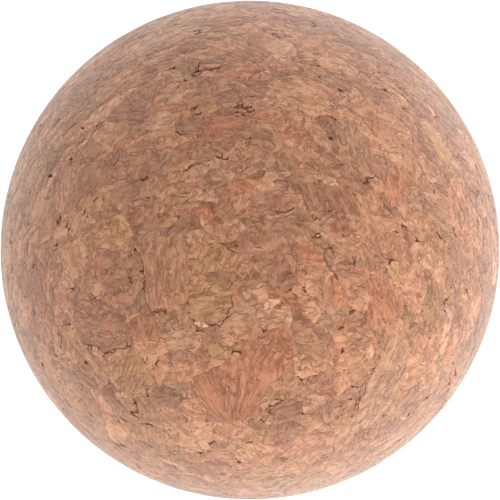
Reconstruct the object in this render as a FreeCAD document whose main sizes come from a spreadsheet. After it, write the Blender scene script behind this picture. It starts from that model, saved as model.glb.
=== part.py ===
"""Massage ball of agglomerated cork.

Cork bark is chopped to flat granules, which are coated with binder, pressed in a mould and
turned to a ball. The press leaves every granule flattened along one axis, so the ball shows
broad faces round that axis and thin slivers a quarter turn away from it.

The fine granules and the binder are one bonded body. Each larger granule is a solid of its
own that fills its socket in that body face to face and is turned flush with the surface.
The centre of the ball is the origin, +Z is up and the ball's display side faces -Y.
"""

import FreeCAD, Part
import math
import os
import random

from FreeCAD import Placement, Rotation, Vector

# name, value in millimetres or degrees unless the note says otherwise, note
DRIVING_SIZES = [
    ("ball_diameter", 65.0, "turned diameter"),
    ("display_lift", 12.0, "degrees that the display axis points up from -Y"),
    ("press_drop", 17.0, "degrees that the press axis points down from -Y"),
    ("granule_width", 6.0, "lattice width of the large granules, across the press axis"),
    ("granule_height", 3.2, "lattice height of the large granules, along the press axis"),
    ("granule_jitter", 0.3, "share of a lattice step that a granule may stray"),
    ("granule_share", 0.62, "share of the large granules' places that hold one"),
    ("binder_film", 0.3, "wall of binder between two large granules"),
    ("marked_depth", 2.6, "how deep a marked flake goes below the surface"),
    ("overcut", 1.0, "how far a socket's cutter starts outside the surface"),
]

# Bark tones with the share of granules that have each.
TONE_SHARES = [
    ("tan", 0.26),
    ("sand", 0.20),
    ("rose", 0.16),
    ("pale", 0.12),
    ("ochre", 0.09),
    ("terracotta", 0.07),
    ("umber", 0.06),
    ("olive", 0.04),
]
BROAD_WEIGHT = 0.09  # granules whose cell weight is above this are the broad grade
MOST_WEIGHT = 0.18
RADIAL_REACH = (-0.45, 0.32)  # a granule's centre, from the surface, in lattice steps
LEAST_PATCH = 5.0  # square millimetres of a large granule that the surface shows
LEAST_DEPTH = 0.9  # how deep a large granule goes at the least
NEIGHBOUR_REACH = 2.1  # lattice steps
SHALLOW_CUT = 0.1  # a neighbour that trims less than this off a granule is ignored
MARKED_WALL = 0.35  # least wall between a large granule and a marked flake
EDGE_PROBES = 5  # places tested along each edge of a granule
GRANULE_SEED = 7


def oval(half_width, half_height, turn=0.0, corners=10, unevenness=0.07):
    """A slightly uneven oval outline, in millimetres."""
    points = []
    for n in range(corners):
        angle = 2 * math.pi * n / corners
        swell = 1 + unevenness * math.cos(3 * angle + half_width)
        x, y = half_width * swell * math.cos(angle), half_height * swell * math.sin(angle)
        spin = math.radians(turn)
        points.append((x * math.cos(spin) - y * math.sin(spin),
                       x * math.sin(spin) + y * math.cos(spin)))
    return points


# name, longitude and latitude of its centre about the display axis in degrees, outline in
# millimetres to the east and north of the centre
MARKED_FLAKES = [
    ("terracotta_flake", -1.3, -29.6, [
        (0.4, 5.3), (2.6, 6.5), (5.0, 6.6), (5.9, 5.2), (5.7, 1.7), (3.2, -0.3),
        (1.7, -2.4), (0.6, -6.0), (-1.8, -6.9), (-4.7, -6.0), (-5.7, -2.8),
        (-6.2, 0.0), (-3.7, 1.6), (-0.7, 2.9)]),
    ("blocky_tan_flake", -18.7, -5.3, [
        (-2.6, 4.5), (2.4, 4.3), (2.9, 0.6), (2.7, -3.4), (1.5, -4.3), (-1.8, -4.4),
        (-2.7, -2.9), (-2.9, 1.0)]),
    ("wavy_olive_flake", -9.2, -11.6, [
        (-2.2, 2.0), (2.7, 2.3), (2.9, -0.4), (1.0, -2.6), (-2.3, -2.1)]),
    ("round_ochre_flake", -7.6, -1.9, oval(2.5, 2.0, turn=20)),
    ("mauve_flake", -37.4, -16.5, [
        (-3.6, 3.0), (1.5, 3.3), (4.0, 0.8), (3.8, -2.6), (0.4, -3.6), (-3.2, -2.2),
        (-4.2, 0.6)]),
    ("smooth_pale_flake", 37.1, -33.7, [
        (-1.7, 7.1), (1.6, 7.2), (2.7, 3.2), (2.6, -1.5), (1.7, -5.2), (-1.5, -7.0),
        (-2.4, -3.5), (-2.2, 2.0)]),
    ("orange_flake", 30.6, -11.7, [
        (-2.3, 3.1), (-0.3, 3.2), (1.7, 1.0), (2.9, -0.9), (2.4, -2.8), (-0.2, -2.5),
        (-1.8, -0.5)]),
    ("round_umber_granule", 10.1, -38.0, oval(2.0, 1.9)),
    ("square_pale_granule", 5.3, -14.9, [
        (-1.8, 1.1), (1.7, 1.3), (1.9, -0.9), (-1.5, -1.3)]),
    ("broad_sand_flake", 13.3, 35.7, oval(3.8, 2.7, turn=-14)),
    ("rose_granule", 7.1, 11.7, oval(1.8, 1.3, turn=-8)),
    ("long_orange_flake", -6.3, 28.0, oval(3.2, 1.4, turn=4)),
    ("ochre_granule", -23.0, 29.6, oval(1.8, 1.4)),
    ("straw_flake", -32.0, -29.0, oval(2.7, 3.3, turn=-25)),
    ("grey_olive_granule", -22.0, -34.4, oval(1.8, 1.4, turn=20)),
    ("pale_olive_flake", -15.6, -20.4, oval(2.2, 1.3, turn=10)),
    ("red_sliver", 19.2, -9.6, oval(1.0, 2.1, turn=12)),
    ("warm_tan_flake", -0.9, 19.8, oval(2.3, 1.9, turn=30)),
]


def make_sheet(doc):
    """The driving sizes, one aliased cell each."""
    sheet = doc.addObject("Spreadsheet::Sheet", "sizes")
    for row, (name, value, note) in enumerate(DRIVING_SIZES, start=1):
        sheet.set(f"A{row}", name)
        sheet.set(f"B{row}", str(value))
        sheet.set(f"C{row}", note)
        sheet.setAlias(f"B{row}", name)
    doc.recompute()
    return sheet


def tilted_frame(degrees_up):
    """East, north and outward directions of a frame whose outward axis is -Y tilted up."""
    angle = math.radians(degrees_up)
    outward = Vector(0, -math.cos(angle), math.sin(angle))
    east = Vector(1, 0, 0)
    return east, outward.cross(east), outward


def tangent_frame(frame, longitude, latitude):
    """East, north and outward directions at a place on the ball, given about a frame."""
    east, north, outward = frame
    lon, lat = math.radians(longitude), math.radians(latitude)
    level = outward * math.cos(lon) + east * math.sin(lon)
    local_out = level * math.cos(lat) + north * math.sin(lat)
    local_east = east * math.cos(lon) - outward * math.sin(lon)
    return local_east, local_out.cross(local_east), local_out


def outline_distance(point, outline):
    """Distance from a point to an outline in its plane, or 0 inside it."""
    x, y = point
    inside, nearest = False, math.inf
    for (x0, y0), (x1, y1) in zip(outline, outline[1:] + outline[:1]):
        if (y0 > y) != (y1 > y) and x < x0 + (y - y0) * (x1 - x0) / (y1 - y0):
            inside = not inside
        run = ((x - x0) * (x1 - x0) + (y - y0) * (y1 - y0)) / (
            (x1 - x0) ** 2 + (y1 - y0) ** 2)
        run = min(1.0, max(0.0, run))
        nearest = min(nearest, math.hypot(x - x0 - run * (x1 - x0),
                                          y - y0 - run * (y1 - y0)))
    return 0.0 if inside else nearest


# ---- large granules: cells of a jittered, weighted lattice that is squashed along the press axis

class Granule:
    """One large granule's centre in lattice steps and in millimetres, with its kind."""

    def __init__(self, steps, centre, weight, tone, present):
        self.steps, self.centre, self.weight = steps, centre, weight
        self.tone, self.present = tone, present

    @property
    def node(self):
        grade = "broad" if self.weight > BROAD_WEIGHT else "small"
        return f"{grade}_{self.tone}_granules"


def lattice_granules(sheet, frame):
    """Every lattice granule near the surface, in a fixed order."""
    east, north, press = frame
    width, height = sheet.granule_width, sheet.granule_height
    radius, jitter = sheet.ball_diameter / 2, sheet.granule_jitter
    tones = [tone for tone, _ in TONE_SHARES]
    shares = [share for _, share in TONE_SHARES]
    reach_in = NEIGHBOUR_REACH * width
    rng = random.Random(GRANULE_SEED)
    across, along = int(radius / width) + 2, int(radius / height) + 2
    found = []
    for i in range(-across, across + 1):
        for j in range(-across, across + 1):
            for k in range(-along, along + 1):
                for offset in (0.0, 0.5):
                    steps = Vector(*(n + offset + jitter * rng.uniform(-1, 1)
                                     for n in (i, j, k)))
                    weight = rng.uniform(0, MOST_WEIGHT)
                    tone = rng.choices(tones, shares)[0]
                    present = rng.random() < sheet.granule_share
                    centre = (east * (steps.x * width) + north * (steps.y * width)
                              + press * (steps.z * height))
                    if abs(centre.Length - radius) < reach_in:
                        found.append(Granule(steps, centre, weight, tone, present))
    return found


def is_large(granule, sheet, frame):
    """Whether a lattice granule is one of the large ones that the surface shows."""
    east, north, press = frame
    if not granule.present:
        return False
    out = Vector(granule.centre).normalize()
    steps_per_mm = Vector(out.dot(east) / sheet.granule_width,
                          out.dot(north) / sheet.granule_width,
                          out.dot(press) / sheet.granule_height).Length
    offset = (granule.centre.Length - sheet.ball_diameter / 2) * steps_per_mm
    return RADIAL_REACH[0] < offset < RADIAL_REACH[1]


def box_faces(centre, half):
    """A cube's six faces as corner lists."""
    def corner(x, y, z):
        return centre + Vector(x * half, y * half, z * half)
    rings = []
    for s in (-1, 1):
        ring = [(-1, -1), (1, -1), (1, 1), (-1, 1)]
        rings.append([corner(s, a, b) for a, b in ring])
        rings.append([corner(a, s, b) for a, b in ring])
        rings.append([corner(a, b, s) for a, b in ring])
    return rings


def trim(faces, normal, offset):
    """The faces of a convex solid, cut to the side where normal . point <= offset."""
    kept, rim = [], []
    for ring in faces:
        heights = [normal.dot(p) - offset for p in ring]
        cut = []
        for p, q, hp, hq in zip(ring, ring[1:] + ring[:1], heights, heights[1:] + heights[:1]):
            if hp <= 0:
                cut.append(p)
            if (hp < 0 < hq) or (hq < 0 < hp):
                crossing = p + (q - p) * (hp / (hp - hq))
                cut.append(crossing)
                rim.append(crossing)
        if len(cut) > 2:
            kept.append(cut)
    middle = Vector()
    for p in rim:
        middle += p * (1 / len(rim))
    side = (rim[0] - middle).normalize()
    up = normal.cross(side)
    rim.sort(key=lambda p: math.atan2((p - middle).dot(up), (p - middle).dot(side)))
    lid = [p for n, p in enumerate(rim) if (p - rim[n - 1]).Length > 1e-6]
    if len(lid) > 2:
        kept.append(lid)
    return kept


def granule_faces(granule, neighbours, sheet, frame):
    """The convex cell of a granule, drawn in from its neighbours by half the binder film."""
    east, north, press = frame
    width, height = sheet.granule_width, sheet.granule_height
    faces = box_faces(granule.centre, width)
    for other in neighbours:
        gap = other.steps - granule.steps
        if other is granule or gap.Length > NEIGHBOUR_REACH:
            continue
        level = (other.steps.dot(other.steps) - other.weight
                 - granule.steps.dot(granule.steps) + granule.weight) / 2
        normal = east * (gap.x / width) + north * (gap.y / width) + press * (gap.z / height)
        size = normal.Length
        normal, offset = normal * (1 / size), level / size - sheet.binder_film / 2
        highest = max(normal.dot(p) for ring in faces for p in ring)
        if highest > offset + SHALLOW_CUT:
            faces = trim(faces, normal, offset)
    return faces


def is_shown(granule, faces, radius):
    """Whether the surface cuts a granule broadly and leaves a sound depth of it in the ball."""
    out = Vector(granule.centre).normalize()
    heights = [out.dot(p) - radius for ring in faces for p in ring]
    if min(heights) > -LEAST_DEPTH or max(heights) < SHALLOW_CUT:
        return False
    patch = trim(faces, out, radius)[-1]
    return Part.Face(Part.makePolygon(patch + patch[:1])).Area > LEAST_PATCH


def meets_marked(granule, faces, marked, floor):
    """Whether a granule comes too near the straight-sided socket of a marked flake."""
    for (east, north, out), outline in marked:
        if granule.centre.dot(out) < floor / 2:
            continue
        if outline_distance((granule.centre.dot(east), granule.centre.dot(north)), outline) == 0:
            return True
        for ring in faces:
            for p, q in zip(ring, ring[1:] + ring[:1]):
                for n in range(EDGE_PROBES):
                    probe = p + (q - p) * (n / EDGE_PROBES)
                    place = (probe.dot(east), probe.dot(north))
                    if probe.dot(out) > floor and outline_distance(place, outline) < MARKED_WALL:
                        return True
    return False


def faceted_solid(faces):
    """A solid from flat faces given as corner lists."""
    shell = Part.Shell([Part.Face(Part.makePolygon(ring + ring[:1])) for ring in faces])
    solid = Part.Solid(shell)
    if solid.Volume < 0:
        solid.reverse()
    return solid


# ---- document objects

def make_blank(doc):
    """The turned ball before any socket is cut."""
    blank = doc.addObject("Part::Sphere", "ball_blank")
    blank.setExpression("Radius", "sizes.ball_diameter / 2")
    return blank


def make_marked_cutter(doc, name, local, outline):
    """A flake's outline sketched outside the surface and extruded inwards."""
    east, north, out = local
    sketch = doc.addObject("Sketcher::SketchObject", f"{name}_outline")
    corners = [Vector(x, y, 0) for x, y in outline]
    for p, q in zip(corners, corners[1:] + corners[:1]):
        sketch.addGeometry(Part.LineSegment(p, q), False)
    sketch.Placement = Placement(Vector(), Rotation(east, north, out, "ZXY"))
    for axis in "xyz":
        sketch.setExpression(f"Placement.Base.{axis}",
                             f"(sizes.ball_diameter / 2 + sizes.overcut) * {getattr(out, axis):.9f}")
    cutter = doc.addObject("Part::Extrusion", f"{name}_cutter")
    cutter.Base = sketch
    cutter.DirMode = "Normal"
    cutter.Reversed = True
    cutter.Solid = True
    cutter.setExpression("LengthFwd", "sizes.marked_depth + sizes.overcut")
    return cutter


def make_granule_cutter(doc, name, solids):
    """The cells of one kind of large granule, reaching out past the surface."""
    cutter = doc.addObject("Part::Feature", f"{name}_cutter")
    cutter.Shape = Part.makeCompound(solids)
    return cutter


def make_node(doc, name, blank, cutter):
    """A granule, or a group of granules, turned flush with the ball."""
    node = doc.addObject("Part::Common", name)
    node.Base, node.Tool = blank, cutter
    node.Label = name
    return node


def make_body(doc, blank, cutters):
    """The bonded fine granules, with a socket for each larger granule."""
    sockets = doc.addObject("Part::Compound", "sockets")
    sockets.Links = cutters
    body = doc.addObject("Part::Cut", "fine_granule_body")
    body.Base, body.Tool = blank, sockets
    body.Label = "fine_granule_body"
    return body


def check(doc, nodes, blank):
    """Stops on a failed object, a bad shape or granules that don't fill their sockets."""
    for item in doc.Objects:
        if {"Invalid", "Error"} & set(item.State):
            raise RuntimeError(f"{item.Label} failed: {item.State}")
    for node in nodes:
        if node.Shape.isNull() or not node.Shape.isValid() or not node.Shape.Solids:
            raise RuntimeError(f"{node.Label} has a bad shape")
    total = sum(node.Shape.Volume for node in nodes)
    if abs(total - blank.Shape.Volume) > 1e-5 * blank.Shape.Volume:
        raise RuntimeError(f"the solids add up to {total}, the ball to {blank.Shape.Volume}")


def main():
    doc = FreeCAD.newDocument("massage_ball")
    sheet = make_sheet(doc)
    blank = make_blank(doc)
    display = tilted_frame(sheet.display_lift)
    press = tilted_frame(-sheet.press_drop)
    marked = [(tangent_frame(display, lon, lat), outline)
              for _, lon, lat, outline in MARKED_FLAKES]

    cutters = {}
    for (name, _, _, _), (local, outline) in zip(MARKED_FLAKES, marked):
        cutters[name] = make_marked_cutter(doc, name, local, outline)

    granules = lattice_granules(sheet, press)
    marked_floor = sheet.ball_diameter / 2 - sheet.marked_depth - MARKED_WALL
    groups = {}
    for granule in granules:
        if not is_large(granule, sheet, press):
            continue
        faces = granule_faces(granule, granules, sheet, press)
        shown = is_shown(granule, faces, sheet.ball_diameter / 2)
        if shown and not meets_marked(granule, faces, marked, marked_floor):
            groups.setdefault(granule.node, []).append(faceted_solid(faces))
    for name in sorted(groups):
        cutters[name] = make_granule_cutter(doc, name, groups[name])

    nodes = [make_node(doc, name, blank, cutter) for name, cutter in cutters.items()]
    nodes.append(make_body(doc, blank, list(cutters.values())))
    doc.recompute()
    check(doc, nodes, blank)

    os.makedirs("parts", exist_ok=True)
    for node in nodes:
        node.Shape.exportStep(os.path.join("parts", f"{node.Label}.step"))
    print(len(nodes), "nodes,", sum(len(n.Shape.Solids) for n in nodes), "solids")


main()
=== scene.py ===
import itertools
import math

import bmesh
import bpy
import numpy as np
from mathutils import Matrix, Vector


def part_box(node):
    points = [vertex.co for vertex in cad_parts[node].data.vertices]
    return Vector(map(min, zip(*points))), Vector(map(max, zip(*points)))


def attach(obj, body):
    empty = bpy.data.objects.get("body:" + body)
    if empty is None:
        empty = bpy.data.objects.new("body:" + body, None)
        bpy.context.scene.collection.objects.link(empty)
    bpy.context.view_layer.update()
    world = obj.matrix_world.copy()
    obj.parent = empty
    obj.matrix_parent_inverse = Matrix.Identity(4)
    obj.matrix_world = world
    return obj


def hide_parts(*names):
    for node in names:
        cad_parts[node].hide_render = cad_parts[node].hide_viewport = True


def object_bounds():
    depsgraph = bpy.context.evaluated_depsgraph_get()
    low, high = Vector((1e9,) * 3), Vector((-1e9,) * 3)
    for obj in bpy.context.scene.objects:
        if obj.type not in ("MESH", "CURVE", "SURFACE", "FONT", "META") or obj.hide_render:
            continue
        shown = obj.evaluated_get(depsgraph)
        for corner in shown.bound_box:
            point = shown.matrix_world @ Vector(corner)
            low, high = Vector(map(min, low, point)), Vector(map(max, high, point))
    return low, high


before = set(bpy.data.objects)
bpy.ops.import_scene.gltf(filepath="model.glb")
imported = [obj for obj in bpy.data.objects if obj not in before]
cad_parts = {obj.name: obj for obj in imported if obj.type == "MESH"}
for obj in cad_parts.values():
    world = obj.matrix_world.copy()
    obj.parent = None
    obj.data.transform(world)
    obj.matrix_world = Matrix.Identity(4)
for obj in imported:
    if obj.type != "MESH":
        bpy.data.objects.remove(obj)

MM = 0.001
CAD_LOW, CAD_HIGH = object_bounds()
BODY_NODE = "fine_granule_body"
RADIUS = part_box(BODY_NODE)[1].z / MM  # of the ball; lengths below are in millimetres
SEED = 11

SPHERE_FREQUENCY = 190  # splits along each edge of the icosahedron that the surface starts from
BODY_FREQUENCY = 60
BODY_RECESS = 0.42  # the bonded body lies this far below the surface, and shows in the pits
BODY_UNEVEN = 0.1
BODY_LUMPS = 1.2
WALL_DEPTH = 0.95  # a granule's side wall, from the surface
ROOT_DEPTH = 1.7  # the point that a granule tapers to
WALL_TAPER = 0.05

DISPLAY_LIFT = 12.0  # degrees that the display side points up from -Y
PRESS_DROP = 17.0  # degrees that the press axis points down from -Y
FINE_WIDTH = 3.8  # fine granules across the press axis
FINE_HEIGHT = 1.2  # and along it
FINE_JITTER = 0.42
FINE_WEIGHT = 0.3
LARGE_GROWTH = 0.2  # takes up most of the binder film between two large granules
SMALLEST_PATCH = 0.02  # square millimetres; a smaller scrap is left out, which opens a pit

# how far outlines stray, as (size of the wave, how far) in millimetres
OUTLINE_WAVES = ((3.6, 1.1), (1.4, 0.42), (0.55, 0.17))
OUTLINE_MARGIN = 1.5  # a granule's place in its outline is worked out this far beyond it
MARKED_CALM = 0.35  # share of the longest wave that a marked flake's outline keeps

CRACK = 0.055  # half width of an open seam; the other seams are shut
CRACK_WAVES = ((2.4, 1.0), (0.8, 0.4))  # size and strength of the noise that opens seams
CRACKED = (0.70, 1.1)  # noise at which a seam starts to open and is fully open
PIT = 0.20  # half width that a pit adds where three granules meet
PIT_REACH = 0.36  # how far a pit's arms run along the seams
PIT_SPACING = 1.6
PITTED = (0.50, 0.72)  # noise at which a meeting place starts to open and is fully open
MOST_OPENING = 0.4  # of a granule's own half width, so that a thin sliver stays whole

EDGE_WIDTH = 0.22  # over which a granule's top rounds off
EDGE_DROP = 0.03
STEP = 0.022  # a granule's top lies up to twice this below the ball's surface
STEP_SIZE = 2.5
SHARP_ANGLE = 48  # degrees
SURFACE_DEPTH = 0.05  # a CAD corner this near the ball's surface is on it
FACING_OUT = 0.97  # cosine between a CAD triangle at the surface and the way out
FAR = 9.0  # further from a seam than any granule reaches

# channels of the hashed noise, so that each use has its own
OUTLINE_CHANNEL = 10
FINE_CHANNEL = 40
CRACK_CHANNEL = 70
PIT_CHANNEL = 72
STEP_CHANNEL = 80
BODY_CHANNEL = 90

# linear colour of plain cork
CORK_COLOUR = (0.518, 0.233, 0.12)
# each tone's red, green and blue as shares of plain cork's, and its share of the fine granules
TONES = {
    "tan": ((1.0, 1.0, 1.0), 0.26),
    "sand": ((1.05, 1.08, 1.09), 0.22),
    "rose": ((0.98, 0.945, 1.0), 0.17),
    "pale": ((1.13, 1.24, 1.32), 0.10),
    "ochre": ((1.0, 1.05, 0.94), 0.10),
    "terracotta": ((0.97, 0.83, 0.78), 0.06),
    "umber": ((0.79, 0.73, 0.72), 0.06),
    "olive": ((0.87, 0.92, 0.93), 0.03),
}

# tone, lightness, strength of the growth lines, their spacing in millimetres and their angle in
# degrees from level, as seen from the display side
MARKED_LOOKS = {
    "terracotta_flake": ("terracotta", 1.0, 0.6, 1.2, 60),
    "blocky_tan_flake": ("tan", 1.05, 0.5, 1.3, 90),
    "wavy_olive_flake": ("ochre", 1.0, 0.6, 0.8, 12),
    "round_ochre_flake": ("ochre", 1.05, 0.5, 0.9, 60),
    "mauve_flake": ("rose", 0.9, 0.4, 1.1, 0),
    "smooth_pale_flake": ("pale", 0.95, 0.15, 1.6, 80),
    "orange_flake": ("terracotta", 1.05, 0.4, 0.8, -60),
    "round_umber_granule": ("umber", 0.9, 0.5, 0.7, 30),
    "square_pale_granule": ("pale", 1.05, 0.2, 1.0, 0),
    "broad_sand_flake": ("sand", 1.15, 0.2, 1.4, -14),
    "rose_granule": ("rose", 1.0, 0.3, 0.8, 0),
    "long_orange_flake": ("terracotta", 1.05, 0.5, 0.8, 4),
    "ochre_granule": ("pale", 1.1, 0.3, 0.8, 20),
    "straw_flake": ("ochre", 0.95, 0.7, 0.6, 55),
    "grey_olive_granule": ("olive", 0.8, 0.3, 0.7, 20),
    "pale_olive_flake": ("pale", 1.0, 0.3, 0.9, 10),
    "red_sliver": ("terracotta", 1.1, 0.6, 0.5, 80),
    "warm_tan_flake": ("tan", 1.05, 0.4, 1.0, 30),
}
# the side, as east and north, on which a crack runs along a marked flake
CRACKED_SIDES = {
    "blocky_tan_flake": (-1, -0.6),
    "wavy_olive_flake": (0.9, -1),
    "round_umber_granule": (-1, 0.3),
    "smooth_pale_flake": (-1, 0.1),
    "mauve_flake": (0.2, -1),
}
SIDE_CRACK = 0.055  # half width
SIDE_BAND = 0.6  # on both sides of the outline
SIDE_SPREAD = (0.3, 0.75)  # cosines from the side's direction, where a crack ends and is whole
MARKED_REACH = 10.0  # beyond any marked flake, from its middle
FANNED_NODE = "terracotta_flake"
FAN_CENTRE = (-1.8, -9.5)  # east and north of the flake's middle
FAN_SCALE = 9.0  # from the fan's centre, where its lines have their stated spacing
BODY_TONE = (205, 140, 104)  # sRGB
PRESS_PULL = 0.7  # how strongly growth lines lie across the press axis
GRAIN_SPREAD = 400.0  # each granule takes its grain from a place up to this far away

# the studio, in metres; the camera's sensor in millimetres
FLOOR_HALF = 2.0
FLOOR_GLOW = (1.07, 1.85)  # on the left and on the right
FLOOR_FADE = 0.16  # from the ball, over which the glow changes
SKY_LEVEL = 1.02
SKY_SLOPE = Vector((0.20, 0.72, 0.0))  # how the sky brightens to the right, back and up
SOFTBOX_PLACE = Vector((0.42, -0.16, 0.04))
SOFTBOX_SIZE = 0.35
SOFTBOX_POWER = 0.52
CAMERA_DISTANCE = 0.55
CAMERA_FILL = 0.999  # share of the picture that the ball fills
SENSOR_WIDTH = 36

RANDOM = np.random.default_rng(SEED)
HASHED_VALUES = RANDOM.uniform(-1, 1, 1 << 16)


# ---- numbers and directions

def unit(vectors):
    return vectors / np.linalg.norm(vectors, axis=-1, keepdims=True)


def tilted_frame(degrees_up):
    """East, north and outward rows of a frame whose outward axis is -Y tilted up."""
    angle = math.radians(degrees_up)
    outward = np.array((0, -math.cos(angle), math.sin(angle)))
    east = np.array((1.0, 0, 0))
    return np.array((east, np.cross(outward, east), outward))


def hashed(x, y, z, channel):
    """A repeatable random value in -1..1 for each whole-number place."""
    key = (x * 73856093) ^ (y * 19349663) ^ (z * 83492791) ^ (channel * 2654435761)
    return HASHED_VALUES[(key ^ (key >> 15)) & 0xFFFF]


def noise(points, size, channel):
    """Smooth noise in -1..1 whose features are about the given size."""
    scaled = points / size
    base = np.floor(scaled).astype(np.int64)
    blend = scaled - base
    blend = blend * blend * (3 - 2 * blend)
    total = np.zeros(len(points))
    for corner in itertools.product((0, 1), repeat=3):
        weight = np.prod(np.where(corner, blend, 1 - blend), axis=1)
        total += weight * hashed(*(base + corner).T, channel)
    return total


def wavered(points, calm):
    """Points moved by the waves that make outlines uneven; calm weakens the longest wave."""
    moved = points.copy()
    for n, (size, reach) in enumerate(OUTLINE_WAVES):
        strength = reach * (calm if n == 0 else 1)
        for axis in range(3):
            moved[:, axis] += strength * noise(points, size, OUTLINE_CHANNEL + 3 * n + axis)
    return moved


def ramp(values, low, high):
    """0 below low, 1 above high and smooth between."""
    t = np.clip((values - low) / (high - low), 0, 1)
    return t * t * (3 - 2 * t)


# ---- the surface and who owns each place on it

def geodesic_sphere(frequency):
    """Unit directions and triangles of an evenly split icosahedron."""
    seed = bmesh.new()
    bmesh.ops.create_icosphere(seed, subdivisions=1, radius=1)
    corners = np.array([v.co for v in seed.verts])
    faces = [[v.index for v in f.verts] for f in seed.faces]
    seed.free()
    steps = [(i, j) for i in range(frequency + 1) for j in range(frequency + 1 - i)]
    index = {step: n for n, step in enumerate(steps)}
    cells = []
    for i, j in steps:
        if i + j < frequency:
            cells.append((index[i, j], index[i + 1, j], index[i, j + 1]))
        if i + j < frequency - 1:
            cells.append((index[i + 1, j], index[i + 1, j + 1], index[i, j + 1]))
    weights = np.array([(i, j, frequency - i - j) for i, j in steps]) / frequency
    points = unit(np.concatenate([weights @ corners[face] for face in faces]))
    cells = np.concatenate([np.array(cells) + n * len(steps) for n in range(len(faces))])
    _, first, merged = np.unique(np.round(points * 1e6).astype(np.int64), axis=0,
                                 return_index=True, return_inverse=True)
    return points[first], merged.reshape(-1)[cells]


def surface_loops(node):
    """The outline of each solid of a CAD node where it meets the ball's surface."""
    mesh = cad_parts[node].data
    mesh.calc_loop_triangles()
    points = np.array([v.co for v in mesh.vertices]) / MM
    _, first, merged = np.unique(np.round(points, 3), axis=0,
                                 return_index=True, return_inverse=True)
    points, merged = points[first], merged.reshape(-1)
    cells = merged[np.array([t.vertices[:] for t in mesh.loop_triangles])]
    a, b, c = (points[cells[:, n]] for n in range(3))
    normals = np.cross(b - a, c - a)
    normals /= np.maximum(np.linalg.norm(normals, axis=1, keepdims=True), 1e-12)
    facing = (normals * unit(a + b + c)).sum(1) > FACING_OUT
    at_surface = (np.linalg.norm(points, axis=1) > RADIUS - SURFACE_DEPTH)[cells].all(1)
    after = {}
    for cell in cells[facing & at_surface].tolist():
        for start, end in zip(cell, cell[1:] + cell[:1]):
            if after.pop((end, start), None) is None:
                after[(start, end)] = True
    step = {start: end for start, end in after}
    loops = []
    while step:
        start, end = step.popitem()
        loop = [start]
        while end != start and end in step:
            loop.append(end)
            end = step.pop(end)
        if len(loop) > 3:
            loops.append(points[loop])
    return loops


def local_frame(direction, display):
    """East and north at a place on the ball, level with the display side's."""
    east = unit(np.cross(display[1], direction))
    return east, np.cross(direction, east)


def flat_places(directions, centre, east, north):
    """Places on the plane that touches the ball at centre, as seen from the ball's centre."""
    scale = RADIUS / (directions @ centre)
    return np.stack((directions @ east * scale, directions @ north * scale), 1)


def inside_distance(places, outline):
    """Distance from each place to an outline, positive inside it."""
    start, run = outline, np.roll(outline, -1, axis=0) - outline
    away = places[:, None] - start
    share = np.clip((away * run).sum(2) / np.maximum((run ** 2).sum(1), 1e-12), 0, 1)
    nearest = np.linalg.norm(away - share[..., None] * run, axis=2).min(1)
    above = away[..., 1] < 0
    ends_above = np.roll(above, -1, axis=1)
    rise = np.where(run[:, 1] == 0, 1e-12, run[:, 1])
    left_of = away[..., 0] < away[..., 1] * run[:, 0] / rise
    inside = ((above != ends_above) & left_of).sum(1) % 2 == 1
    return np.where(inside, nearest, -nearest)


def large_granules(display):
    """Every granule that the CAD model holds as a solid: its node, place and outline."""
    found = []
    for node in sorted(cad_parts):
        if node == BODY_NODE:
            continue
        for loop in surface_loops(node):
            centre = unit(unit(loop).mean(0))
            east, north = local_frame(centre, display)
            outline = flat_places(unit(loop), centre, east, north)
            found.append({"node": node, "centre": centre, "east": east, "north": north,
                          "outline": outline})
    return found


def own_large(points, granules):
    """The large granule that each place is in or nearest to, how deep inside its grown outline
    the place is, and how far from the seam with the next nearest large granule."""
    wavering = {calm: unit(wavered(points, calm)) for calm in (1.0, MARKED_CALM)}
    owner, depth = np.zeros(len(points), int), np.full(len(points), -FAR)
    runner_up = depth.copy()
    for n, granule in enumerate(granules):
        directions = wavering[MARKED_CALM if granule["node"] in MARKED_LOOKS else 1.0]
        reach = np.linalg.norm(granule["outline"], axis=1).max() + OUTLINE_MARGIN
        near = np.flatnonzero(directions @ granule["centre"] > math.cos(reach / RADIUS))
        places = flat_places(directions[near], granule["centre"], granule["east"],
                             granule["north"])
        inside = inside_distance(places, granule["outline"]) + LARGE_GROWTH
        better = inside > depth[near]
        runner_up[near] = np.where(better, depth[near], np.maximum(runner_up[near], inside))
        owner[near[better]] = n
        depth[near[better]] = inside[better]
    return owner, depth, (depth - runner_up) / 2


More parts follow.
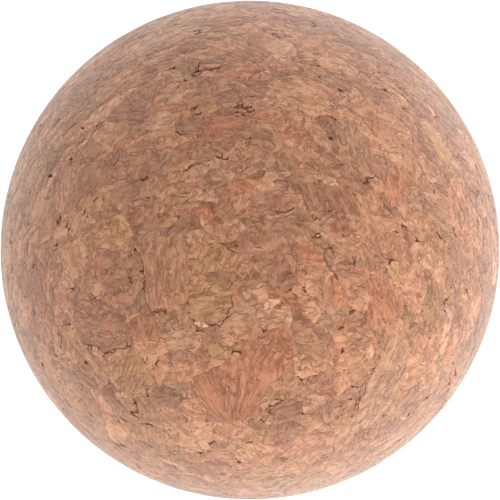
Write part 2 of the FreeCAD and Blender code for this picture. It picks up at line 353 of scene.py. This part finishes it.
def own_fine(points):
    """The fine granule that each place is in, and the distances to its nearest two seams."""
    sizes = np.array((FINE_WIDTH, FINE_WIDTH, FINE_HEIGHT))
    steps = wavered(points, 1.0) @ tilted_frame(-PRESS_DROP).T / sizes
    base = np.round(steps).astype(np.int64)
    offsets = [(i, j, k, half) for i in (-1, 0, 1) for j in (-1, 0, 1) for k in (-1, 0, 1)
               for half in (0, 1)]

    def centre_of(offset):
        cell = base + offset[:3]
        channel = FINE_CHANNEL + 4 * offset[3]
        stray = np.stack([hashed(*cell.T, channel + n) for n in range(3)], 1)
        weight = FINE_WEIGHT * (0.5 + 0.5 * hashed(*cell.T, channel + 3))
        return cell + 0.5 * offset[3] + FINE_JITTER * stray, weight

    best, chosen = np.full(len(points), 1e9), np.zeros(len(points), int)
    best_centre, best_weight = np.zeros_like(points), np.zeros(len(points))
    for n, offset in enumerate(offsets):
        centre, weight = centre_of(offset)
        level = ((steps - centre) ** 2).sum(1) - weight
        better = level < best
        best[better], chosen[better] = level[better], n
        best_centre[better], best_weight[better] = centre[better], weight[better]
    first, second = np.full(len(points), FAR), np.full(len(points), FAR)
    for n, offset in enumerate(offsets):
        centre, weight = centre_of(offset)
        level = ((steps - centre) ** 2).sum(1) - weight
        slope = np.linalg.norm((centre - best_centre) / sizes, axis=1)
        away = (level - best) / 2 / np.maximum(slope, 1e-9)
        away[chosen == n] = FAR
        second = np.where(away < first, first, np.minimum(second, away))
        first = np.minimum(first, away)
    offset_of = np.array(offsets)[chosen]
    cell = np.concatenate((base + offset_of[:, :3], offset_of[:, 3:]), axis=1)
    _, label = np.unique(cell, axis=0, return_inverse=True)
    return label.reshape(-1), first, second


def side_cracks(directions, granules):
    """Half the width that a crack adds along one side of some marked flakes."""
    added = np.zeros(len(directions))
    for granule in granules:
        if granule["node"] not in CRACKED_SIDES:
            continue
        side = unit(np.array(CRACKED_SIDES[granule["node"]]))
        near = np.flatnonzero(directions @ granule["centre"] > math.cos(MARKED_REACH / RADIUS))
        places = flat_places(directions[near], granule["centre"], granule["east"], granule["north"])
        at_edge = np.abs(inside_distance(places, granule["outline"])) < SIDE_BAND
        added[near] += SIDE_CRACK * at_edge * ramp(unit(places) @ side, *SIDE_SPREAD)
    return added


def seam_width(points, second):
    """Half the width of the seam at each place: shut, cracked open or widened to a pit."""
    level = sum(strength * noise(points, size, CRACK_CHANNEL + n)
                for n, (size, strength) in enumerate(CRACK_WAVES))
    meeting = np.clip(1 - second / PIT_REACH, 0, 1) ** 1.5
    pitted = ramp(noise(points, PIT_SPACING, PIT_CHANNEL), *PITTED)
    return CRACK * ramp(level, *CRACKED) + PIT * meeting * pitted


# ---- cutting the surface into granules

def cut_patches(cells, label, depth, width):
    """Triangles of every granule's top, cut along its seams.

    Returns the granule of each triangle, and its three corners as rows of (granule, place,
    other place, share of the way between them).
    """
    pairs = [(cells, label[cells[:, 0]])]
    other = label[cells[:, 1]] != label[cells[:, 0]]
    pairs.append((cells[other], label[cells[other, 1]]))
    third = (label[cells[:, 2]] != label[cells[:, 0]]) & (label[cells[:, 2]] != label[cells[:, 1]])
    pairs.append((cells[third], label[cells[third, 2]]))
    cells = np.concatenate([c for c, _ in pairs])
    owner = np.concatenate([o for _, o in pairs])
    value = np.where(label[cells] == owner[:, None], depth[cells], -depth[cells]) - width[cells]
    kept = value > 0
    count = kept.sum(1)

    def corner(rows, n):
        place = cells[rows, n]
        return np.stack((owner[rows], place, place, np.zeros(len(rows))), 1)

    def crossing(rows, n, m):
        share = value[rows, n] / (value[rows, n] - value[rows, m])
        return np.stack((owner[rows], cells[rows, n], cells[rows, m], share), 1)

    made = []
    whole = np.flatnonzero(count == 3)
    made.append([corner(whole, n) for n in range(3)])
    for n in range(3):
        m, k = (n + 1) % 3, (n + 2) % 3
        one = np.flatnonzero((count == 1) & kept[:, n])
        made.append([corner(one, n), crossing(one, n, m), crossing(one, n, k)])
        two = np.flatnonzero((count == 2) & ~kept[:, n])
        made.append([corner(two, m), corner(two, k), crossing(two, k, n)])
        made.append([corner(two, m), crossing(two, k, n), crossing(two, m, n)])
    return np.concatenate([np.stack(corners, 1) for corners in made])


def merge_corners(corners):
    """One row for each different corner, and the triangles as numbers of those rows."""
    flat = corners.reshape(-1, 4)
    swap = flat[:, 1] > flat[:, 2]
    key = flat[:, :3].astype(np.int64)
    key[swap] = key[swap][:, (0, 2, 1)]
    _, first, merged = np.unique(key, axis=0, return_index=True, return_inverse=True)
    return flat[first], merged.reshape(-1, 3)


# ---- meshes

def make_object(name, points, cells, attributes):
    """A mesh object from points in millimetres, with per-point attributes."""
    mesh = bpy.data.meshes.new(name)
    mesh.vertices.add(len(points))
    mesh.vertices.foreach_set("co", (points * MM).astype(np.float32).ravel())
    mesh.loops.add(cells.size)
    mesh.loops.foreach_set("vertex_index", cells.astype(np.int32).ravel())
    mesh.polygons.add(len(cells))
    mesh.polygons.foreach_set("loop_start", np.arange(0, cells.size, 3, dtype=np.int32))
    mesh.update(calc_edges=True)
    mesh.polygons.foreach_set("use_smooth", np.ones(len(cells), bool))
    mesh.set_sharp_from_angle(angle=math.radians(SHARP_ANGLE))
    for key, values in attributes.items():
        kind, field = ("FLOAT", "value") if values.ndim == 1 else ("FLOAT_VECTOR", "vector")
        layer = mesh.attributes.new(key, kind, "POINT")
        layer.data.foreach_set(field, values.astype(np.float32).ravel())
    made = bpy.data.objects.new(name, mesh)
    bpy.context.scene.collection.objects.link(made)
    return made


def closed_granules(tops, cells, owners, centres):
    """Adds to granule tops their side walls and a root deep in the ball."""
    edges = np.concatenate([cells[:, (0, 1)], cells[:, (1, 2)], cells[:, (2, 0)]])
    code = edges[:, 0] * len(tops) + edges[:, 1]
    back = edges[:, 1] * len(tops) + edges[:, 0]
    rim = edges[~np.isin(code, back)]
    rim_points, place = np.unique(rim, return_inverse=True)
    place = place.reshape(-1, 2) + len(tops)
    rim_owner = owners[rim_points]
    wall = unit(tops[rim_points]) * (1 - WALL_TAPER) + centres[rim_owner] * WALL_TAPER
    wall = unit(wall) * (RADIUS - WALL_DEPTH)
    used, root = np.unique(rim_owner, return_inverse=True)
    root_of = np.zeros(len(tops) + len(wall), int)
    root_of[len(tops):] = len(tops) + len(wall) + root
    a, b = rim.T
    wall_a, wall_b = place.T
    sides = [np.stack(c, 1) for c in ((b, a, wall_a), (b, wall_a, wall_b),
                                      (wall_b, wall_a, root_of[wall_a]))]
    points = np.concatenate((tops, wall, centres[used] * (RADIUS - ROOT_DEPTH)))
    return points, np.concatenate([cells] + sides), np.concatenate((owners, rim_owner, used))


def grain_frames(count, centres, looks, display):
    """Three rows for each granule: across its growth lines, and two ways along them."""
    press = tilted_frame(-PRESS_DROP)[2]
    stray = unit(RANDOM.normal(size=(count, 3)))
    across = unit(stray + PRESS_PULL * press * np.sign(stray @ press)[:, None])
    for n, look in looks.items():
        east, north = local_frame(centres[n], display)
        angle = math.radians(look[-1])
        across[n] = north * math.cos(angle) - east * math.sin(angle)
    along = unit(np.cross(across, unit(RANDOM.normal(size=(count, 3)))))
    return np.stack((across, along, np.cross(across, along)), 1)


def fanned(points, granule):
    """The place of each point across growth lines that fan out from one corner."""
    places = flat_places(unit(points), granule["centre"], granule["east"], granule["north"])
    away = places - FAN_CENTRE
    return np.arctan2(away[:, 0], away[:, 1]) * FAN_SCALE


# ---- materials

def linear(tone):
    """An sRGB tone of 0 to 255 as a linear colour."""
    shares = [c / 255 for c in tone]
    return [c / 12.92 if c <= 0.04045 else ((c + 0.055) / 1.055) ** 2.4 for c in shares]


def cork_colour(tone, lightness=1.0):
    """The linear colour of one of the tones."""
    return [c * share * lightness for c, share in zip(CORK_COLOUR, TONES[tone][0])]


class Graph:
    """Short calls for building a material's nodes."""

    def __init__(self, name):
        self.material = bpy.data.materials.new(name)
        self.material.use_nodes = True
        self.tree = self.material.node_tree
        self.shader = self.tree.nodes["Principled BSDF"]

    def feed(self, socket, value):
        if isinstance(value, bpy.types.NodeSocket):
            self.tree.links.new(value, socket)
        else:
            socket.default_value = value

    def attribute(self, name, output="Fac"):
        node = self.tree.nodes.new("ShaderNodeAttribute")
        node.attribute_name = name
        return node.outputs[output]

    def noise(self, vector, size, detail=2.0, roughness=0.5, distortion=0.0):
        node = self.tree.nodes.new("ShaderNodeTexNoise")
        self.feed(node.inputs["Vector"], vector)
        node.inputs["Scale"].default_value = 1 / size
        node.inputs["Detail"].default_value = detail
        node.inputs["Roughness"].default_value = roughness
        node.inputs["Distortion"].default_value = distortion
        return node.outputs["Fac"]

    def bands(self, vector, spacing, distortion):
        """Even bands across the first axis, bent by noise, 0 to 1."""
        node = self.tree.nodes.new("ShaderNodeTexWave")
        node.wave_type, node.bands_direction, node.wave_profile = "BANDS", "X", "SIN"
        self.feed(node.inputs["Vector"], vector)
        node.inputs["Scale"].default_value = math.pi / 10 / spacing
        node.inputs["Distortion"].default_value = distortion
        node.inputs["Detail"].default_value = 4
        node.inputs["Detail Scale"].default_value = 0.32
        node.inputs["Detail Roughness"].default_value = 0.62
        return node.outputs["Fac"]

    def spots(self, vector, size):
        """Distance to the nearest of many scattered points, in cells."""
        node = self.tree.nodes.new("ShaderNodeTexVoronoi")
        self.feed(node.inputs["Vector"], vector)
        node.inputs["Scale"].default_value = 1 / size
        return node.outputs["Distance"]

    def shards(self, vector, size):
        """For long thin shards, each one's random tone from 0 to 1, and the distance to its edge."""
        bend = self.tree.nodes.new("ShaderNodeTexNoise")
        self.feed(bend.inputs["Vector"], vector)
        bend.inputs["Scale"].default_value = 1.2 / size
        bend.inputs["Detail"].default_value = 1.5
        bent = self.tree.nodes.new("ShaderNodeVectorMath")
        bent.operation = "MULTIPLY_ADD"
        self.feed(bent.inputs[0], bend.outputs["Color"])
        bent.inputs[1].default_value = (size * 0.9,) * 3
        self.feed(bent.inputs[2], vector)
        stretched = self.scaled(bent.outputs[0], (1.9, 0.75, 0.75))
        outputs = []
        for feature, output in (("F1", "Color"), ("DISTANCE_TO_EDGE", "Distance")):
            node = self.tree.nodes.new("ShaderNodeTexVoronoi")
            node.feature = feature
            self.feed(node.inputs["Vector"], stretched)
            node.inputs["Scale"].default_value = 1 / size
            outputs.append(node.outputs[output])
        return outputs

    def scaled(self, vector, factors):
        node = self.tree.nodes.new("ShaderNodeVectorMath")
        node.operation = "MULTIPLY"
        self.feed(node.inputs[0], vector)
        node.inputs[1].default_value = factors
        return node.outputs[0]

    def remap(self, value, low, high, out_low=0.0, out_high=1.0):
        node = self.tree.nodes.new("ShaderNodeMapRange")
        node.interpolation_type = "SMOOTHSTEP"
        self.feed(node.inputs["Value"], value)
        bounds = (low, high, out_low, out_high)
        for key, bound in zip(("From Min", "From Max", "To Min", "To Max"), bounds):
            node.inputs[key].default_value = bound
        return node.outputs["Result"]

    def math(self, operation, a, b):
        node = self.tree.nodes.new("ShaderNodeMath")
        node.operation = operation
        self.feed(node.inputs[0], a)
        self.feed(node.inputs[1], b)
        return node.outputs[0]

    def mix(self, share, a, b, mode="MIX"):
        node = self.tree.nodes.new("ShaderNodeMix")
        node.data_type, node.blend_type = "RGBA", mode
        self.feed(node.inputs["Factor"], share)
        self.feed(node.inputs["A"], a)
        self.feed(node.inputs["B"], b)
        return node.outputs["Result"]

    def bump(self, height, distance, strength):
        node = self.tree.nodes.new("ShaderNodeBump")
        node.inputs["Distance"].default_value = distance * MM
        node.inputs["Strength"].default_value = strength
        self.feed(node.inputs["Height"], height)
        self.tree.links.new(node.outputs["Normal"], self.shader.inputs["Normal"])


def shaded(colour, factor):
    return [c * factor for c in colour[:3]] + [1.0]


def cork(name, base, line_strength=0.4, line_spacing=1.0, wave=9.0):
    """Sanded cork bark: blotches, shards, fibres, slivers, growth lines and specks, with painted shade and
    painted highlights on folds, shard edges and granule edges.
    """
    g = Graph(name)
    dark = [base[0] * 0.50, base[1] * 0.37, base[2] * 0.31, 1]
    pale = [min(1, base[0] * 1.24), min(1, base[1] * 1.36), min(1, base[2] * 1.46), 1]
    warm = [min(1, base[0] * 1.02), base[1] * 0.92, base[2] * 0.86, 1]
    grain = g.attribute("grain", "Vector")
    colour = blotched(g, grain, base, warm)
    # split is painted shade along some shard edges; other shard edges get painted highlights
    colour, shard, split = shard_tones_with_painted_edges(g, grain, colour, base, pale)
    colour, fibres = fibrous(g, grain, colour, base, warm, pale)
    colour, painted_fold_shade = painted_fold_light(g, grain, colour, pale)
    growth = growth_lines(g, grain, line_strength, line_spacing, wave)
    # lines: the bark's own growth lines, together with painted shade in folds and along shard edges
    lines = g.math("MAXIMUM", g.math("MAXIMUM", growth, painted_fold_shade), split)
    colour = g.mix(lines, colour, dark)
    colour, speckle = speckled(g, grain, colour, base, dark, pale)
    # painted shade and painted highlights along each granule's edge
    colour = painted_edge_light(g, grain, colour, dark, pale)
    lift = g.remap(g.attribute("shade"), -1, 1, 0.82, 1.17)
    g.feed(g.shader.inputs["Base Color"], g.mix(1.0, colour, lift, "MULTIPLY"))

    g.feed(g.shader.inputs["Roughness"], g.remap(speckle, 0.35, 0.65, 0.86, 0.62))
    g.shader.inputs["Specular IOR Level"].default_value = 0.45
    g.shader.inputs["Sheen Weight"].default_value = 0.72
    g.shader.inputs["Sheen Roughness"].default_value = 0.4
    g.shader.inputs["Sheen Tint"].default_value = (1.0, 0.93, 0.88, 1)
    height = g.math("SUBTRACT", g.math("MULTIPLY", speckle, 0.5), g.math("MULTIPLY", lines, 1.2))
    height = g.math("ADD", height, g.math("ADD", fibres, g.math("MULTIPLY", shard, 0.5)))
    g.bump(height, 0.10, 0.8)
    return g.material


def blotched(g, grain, base, warm):
    """Soft light and dark blotches, some of them warmer."""
    blotch = g.noise(grain, 1.7, detail=4, roughness=0.62)
    colour = g.mix(g.remap(blotch, 0.30, 0.70), shaded(base, 0.75), shaded(base, 1.20))
    return g.mix(g.remap(g.noise(grain, 0.9), 0.48, 0.75, 0, 0.7), colour, warm)


def shard_tones_with_painted_edges(g, grain, colour, base, pale):
    """Long shards, each of its own tone, with painted shade along some edges and painted highlights along
    others.
    """
    shard, shard_edge = g.shards(grain, 1.3)
    colour = g.mix(g.remap(shard, 0.0, 0.5, 0.85, 0), colour, shaded(base, 0.72))
    colour = g.mix(g.remap(shard, 0.55, 1.0, 0, 0.8), colour, pale)
    shard_edge_light_noise = g.noise(grain, 1.2, detail=1)
    # split: painted shade along some shard edges
    split = g.math("MULTIPLY", g.remap(shard_edge, 0.0, 0.11, 1, 0),
                   g.remap(shard_edge_light_noise, 0.50, 0.62, 0, 0.6))
    # painted highlight along other shard edges
    painted_shard_edge_highlight = g.math("MULTIPLY", g.remap(shard_edge, 0.0, 0.16, 1, 0),
                     g.remap(shard_edge_light_noise, 0.36, 0.48, 0.7, 0))
    return g.mix(painted_shard_edge_highlight, colour, pale), shard, split


def fibrous(g, grain, colour, base, warm, pale):
    """Fine fibres and wider slivers along the grain, dark and pale."""
    fibres = g.noise(g.scaled(grain, (3.4, 0.9, 0.9)), 0.9, detail=3, roughness=0.65)
    colour = g.mix(g.remap(fibres, 0.34, 0.52, 0.42, 0), colour, shaded(base, 0.60))
    colour = g.mix(g.remap(fibres, 0.54, 0.70, 0, 0.40), colour, pale)
    slivers = g.noise(g.scaled(grain, (2.1, 0.6, 0.6)), 1.0, detail=1, distortion=0.6)
    colour = g.mix(g.remap(slivers, 0.30, 0.43, 0.80, 0), colour, shaded(warm, 0.55))
    return g.mix(g.remap(slivers, 0.57, 0.65, 0, 0.72), colour, pale), fibres


def painted_fold_light(g, grain, colour, pale):
    """Painted light on folds of the bark in places: painted highlights on their tops, and how dark the
    painted shade in their hollows is.
    """
    folds = g.noise(g.scaled(grain, (1.5, 0.8, 0.8)), 1.5, detail=2, distortion=0.8)
    present = g.remap(g.noise(grain, 2.1), 0.42, 0.56)
    from_crease = g.math("ABSOLUTE", g.math("SUBTRACT", folds, 0.5), 0)
    # painted shade in the fold hollows
    painted_fold_shade = g.math("MULTIPLY", g.remap(from_crease, 0.0, 0.065, 0.85, 0), present)
    from_ridge = g.math("ABSOLUTE", g.math("SUBTRACT", folds, 0.56), 0)
    # painted highlight on the fold tops
    painted_fold_highlight = g.math("MULTIPLY", g.remap(from_ridge, 0.0, 0.055, 0.7, 0), present)
    return g.mix(painted_fold_highlight, colour, pale), painted_fold_shade


def growth_lines(g, grain, strength, spacing, wave):
    """How dark the bark's yearly growth lines are."""
    present = g.remap(g.noise(grain, 3.2), 0.40, 0.62, 0, strength)
    return g.math("MULTIPLY", g.remap(g.bands(grain, spacing, wave), 0.58, 0.99), present)


def speckled(g, grain, colour, base, dark, pale):
    """The bark's fine cells as light and dark speckle, and a few dark specks."""
    speckle = g.noise(grain, 0.2, detail=2, roughness=0.6)
    colour = g.mix(g.remap(speckle, 0.38, 0.52, 0.22, 0), colour, shaded(base, 0.60))
    colour = g.mix(g.remap(speckle, 0.54, 0.66, 0, 0.18), colour, pale)
    specks = g.math("MULTIPLY", g.remap(g.spots(grain, 1.1), 0.07, 0.15, 0.7, 0),
                    g.remap(g.noise(grain, 1.4), 0.5, 0.6))
    return g.mix(specks, colour, dark), speckle


def painted_edge_light(g, grain, colour, dark, pale):
    """The granule's edge: painted highlights in some places and painted shade in others."""
    edge = g.attribute("edge")
    rim = g.noise(grain, 1.1, detail=2)
    # shut: painted shade along the granule's edge
    shut = g.math("MULTIPLY", g.remap(edge, 0.0, 0.20, 1, 0), g.remap(rim, 0.54, 0.68, 0.0, 0.62))
    # painted highlight along the granule's edge
    painted_edge_highlight = g.math("MULTIPLY", g.remap(edge, 0.02, 0.26, 1, 0), g.remap(rim, 0.34, 0.46, 0.55, 0))
    return g.mix(shut, g.mix(painted_edge_highlight, colour, pale), dark)


def binder_material():
    """The dark bonded body that shows at the bottom of seams and pits."""
    g = Graph("bonded_body")
    base = linear(BODY_TONE)
    texture = g.tree.nodes.new("ShaderNodeTexCoord")
    vector = g.scaled(texture.outputs["Object"], (1 / MM,) * 3)
    grit = g.noise(vector, 0.4, detail=3, roughness=0.6)
    g.feed(g.shader.inputs["Base Color"],
           g.mix(g.remap(grit, 0.35, 0.65), shaded(base, 0.6), shaded(base, 1.3)))
    g.feed(g.shader.inputs["Roughness"], g.remap(grit, 0.3, 0.7, 0.95, 0.7))
    g.bump(grit, 0.15, 0.8)
    return g.material


# ---- the ball

def build_body():
    """The bonded body under the granules."""
    directions, cells = geodesic_sphere(BODY_FREQUENCY)
    uneven = noise(directions * RADIUS, BODY_LUMPS, BODY_CHANNEL)
    body = make_object("fine_granule_body_skin",
                       directions * (RADIUS - BODY_RECESS + BODY_UNEVEN * uneven)[:, None], cells, {})
    body.data.materials.append(binder_material())
    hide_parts(BODY_NODE)
    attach(body, "root")


def surface_patches(directions, cells, granules):
    """The tops of all granules, large ones first, cut apart along seams, cracks and pits.

    Returns the number of granules, the granule, direction and distance from the seam of every
    corner, and the triangles.
    """
    points = directions * RADIUS
    large, large_depth, from_next = own_large(points, granules)
    fine, first, second = own_fine(points)
    in_large = large_depth > 0
    label = np.where(in_large, large, fine + len(granules))
    depth = np.where(in_large, np.minimum(large_depth, from_next), np.minimum(first, -large_depth))
    second = np.sort(np.stack((first, second, np.abs(large_depth))), axis=0)[1]
    count = label.max() + 1
    deepest = np.zeros(count)
    np.maximum.at(deepest, label, depth)
    width = seam_width(points, second) + side_cracks(directions, granules)
    width = np.minimum(width, MOST_OPENING * deepest[label])
    corners, triangles = merge_corners(cut_patches(cells, label, depth, width))
    owner, start, end = corners[:, :3].astype(int).T
    share = corners[:, 3:]
    surface = unit(directions[start] * (1 - share) + directions[end] * share)
    return count, owner, surface, np.where(start == end, depth[start], 0.0), triangles


def without_scraps(count, owner, surface, triangles):
    """The triangles of the granules that are large enough to show."""
    a, b, c = (surface[triangles[:, n]] * RADIUS for n in range(3))
    areas = np.linalg.norm(np.cross(b - a, c - a), axis=1) / 2
    owners = owner[triangles[:, 0]]
    return triangles[np.bincount(owners, areas, count)[owners] > SMALLEST_PATCH]


def middles(count, owner, surface):
    """The direction of each granule's middle."""
    weights = np.bincount(owner, minlength=count)
    sums = np.stack([np.bincount(owner, surface[:, n], count) for n in range(3)], 1)
    return unit(sums / np.maximum(weights, 1)[:, None] + 1e-9)


def piece_names(granules, centres):
    """The piece of each granule: its CAD node, or for a fine granule a random tone and its half."""
    names = list(TONES)
    shares = np.array([TONES[name][1] for name in names])
    tones = RANDOM.choice(len(names), len(centres), p=shares / shares.sum())
    half = np.where(centres[:, 2] > 0, "upper", "lower")
    fine = range(len(granules), len(centres))
    return np.array([g["node"] for g in granules]
                    + [f"fine_{names[tones[n]]}_granules_{half[n]}" for n in fine])


def dress(piece, made, tone_materials):
    """Gives a piece of granules its material, hides the CAD node that it replaces and attaches it to the
    root body.
    """
    if piece in MARKED_LOOKS:
        tone, lightness, strength, spacing, _ = MARKED_LOOKS[piece]
        base = cork_colour(tone, lightness)
        made.data.materials.append(cork(f"cork_{piece}", base, strength, spacing))
    else:
        made.data.materials.append(tone_materials[piece.split("_")[1]])
    if piece.startswith("fine_"):
        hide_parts(BODY_NODE)
    else:
        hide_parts(piece)
    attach(made, "root")


def build_granules():
    """Every granule that the surface shows, as closed solids grouped by tone."""
    display = tilted_frame(DISPLAY_LIFT)
    granules = large_granules(display)
    directions, cells = geodesic_sphere(SPHERE_FREQUENCY)
    count, owner, surface, edge, triangles = surface_patches(directions, cells, granules)
    triangles = without_scraps(count, owner, surface, triangles)
    centres = middles(count, owner, surface)

    looks = {n: MARKED_LOOKS[g["node"]] for n, g in enumerate(granules) if g["node"] in MARKED_LOOKS}
    frames = grain_frames(count, centres, looks, display)
    offsets = RANDOM.uniform(-GRAIN_SPREAD, GRAIN_SPREAD, (count, 3))
    shade = RANDOM.uniform(-1, 1, count)
    shade[list(looks)] = 0
    pieces = piece_names(granules, centres)

    rounding = EDGE_DROP * (1 - np.clip(edge / EDGE_WIDTH, 0, 1)) ** 2
    steps = STEP * (1 + noise(surface * RADIUS + offsets[owner], STEP_SIZE, STEP_CHANNEL))
    tops = surface * (RADIUS - rounding - steps)[:, None]

    tone_materials = {tone: cork(f"cork_{tone}", cork_colour(tone)) for tone in TONES}
    for piece in np.unique(pieces):
        chosen = pieces[owner[triangles[:, 0]]] == piece
        if not chosen.any():
            continue
        used, piece_cells = np.unique(triangles[chosen], return_inverse=True)
        points, piece_cells, owners = closed_granules(
            tops[used], piece_cells.reshape(-1, 3), owner[used], centres)
        grain = np.einsum("nij,nj->ni", frames[owners], points) + offsets[owners]
        if piece == FANNED_NODE:
            grain[:, 0] = fanned(points, granules[owners[0]])
        edges = np.zeros(len(points))
        edges[:len(used)] = edge[used]
        name = piece if piece.startswith("fine_") else f"{piece}_skin"
        made = make_object(name, points, piece_cells,
                           {"edge": edges, "shade": shade[owners], "grain": grain})
        dress(piece, made, tone_materials)


# ---- studio

def build_floor():
    """A pale floor lit evenly from within, as a light table is."""
    mesh = bpy.data.meshes.new("floor")
    corners = [(-1, -1), (1, -1), (1, 1), (-1, 1)]
    mesh.from_pydata([(x * FLOOR_HALF, y * FLOOR_HALF, CAD_LOW.z) for x, y in corners], [], [(0, 1, 2, 3)])
    floor = bpy.data.objects.new("floor", mesh)
    bpy.context.scene.collection.objects.link(floor)
    g = Graph("light_table")
    g.shader.inputs["Base Color"].default_value = (0, 0, 0, 1)
    g.shader.inputs["Specular IOR Level"].default_value = 0
    g.shader.inputs["Emission Color"].default_value = (1, 1, 1, 1)
    place = g.tree.nodes.new("ShaderNodeTexCoord")
    split = g.tree.nodes.new("ShaderNodeSeparateXYZ")
    g.feed(split.inputs[0], place.outputs["Object"])
    glow = g.remap(split.outputs["X"], -FLOOR_FADE, FLOOR_FADE, *FLOOR_GLOW)
    g.feed(g.shader.inputs["Emission Strength"], glow)
    mesh.materials.append(g.material)


def build_sky():
    """A white tent that is brighter on the right; the camera sees plain white."""
    world = bpy.data.worlds.new("tent")
    bpy.context.scene.world = world
    world.use_nodes = True
    nodes, links = world.node_tree.nodes, world.node_tree.links
    background = nodes["Background"]
    background.inputs["Color"].default_value = (1, 1, 1, 1)
    place = nodes.new("ShaderNodeTexCoord")
    slope = nodes.new("ShaderNodeVectorMath")
    slope.operation = "DOT_PRODUCT"
    slope.inputs[1].default_value = SKY_SLOPE
    links.new(place.outputs["Generated"], slope.inputs[0])
    level = nodes.new("ShaderNodeMath")
    level.operation = "ADD"
    level.inputs[1].default_value = SKY_LEVEL
    links.new(slope.outputs["Value"], level.inputs[0])
    path = nodes.new("ShaderNodeLightPath")
    seen = nodes.new("ShaderNodeMath")
    seen.operation = "MAXIMUM"
    links.new(level.outputs[0], seen.inputs[0])
    links.new(path.outputs["Is Camera Ray"], seen.inputs[1])
    links.new(seen.outputs[0], background.inputs["Strength"])


def build_softbox():
    """A large soft light on the right, level with the ball."""
    data = bpy.data.lights.new("softbox", "AREA")
    data.shape, data.size, data.energy = "SQUARE", SOFTBOX_SIZE, SOFTBOX_POWER
    data.color = (1.0, 0.98, 0.95)
    light = bpy.data.objects.new("softbox", data)
    light.location = SOFTBOX_PLACE
    light.rotation_mode = "QUATERNION"
    light.rotation_quaternion = light.location.to_track_quat("Z", "Y")
    bpy.context.scene.collection.objects.link(light)


def build_camera():
    """Looks down a little at the display side and fills the picture with the ball."""
    half = math.asin(RADIUS * MM / CAMERA_DISTANCE)
    data = bpy.data.cameras.new("camera")
    data.sensor_width = SENSOR_WIDTH
    data.lens = data.sensor_width / 2 / (math.tan(half) / CAMERA_FILL)
    camera = bpy.data.objects.new("camera", data)
    back = Vector(tilted_frame(DISPLAY_LIFT)[2])
    camera.location = back * CAMERA_DISTANCE
    camera.rotation_mode = "QUATERNION"
    camera.rotation_quaternion = back.to_track_quat("Z", "Y")
    bpy.context.scene.collection.objects.link(camera)
    bpy.context.scene.camera = camera


build_body()
build_granules()
build_floor()
build_sky()
build_softbox()
build_camera()
bpy.context.scene.view_settings.view_transform = "Standard"
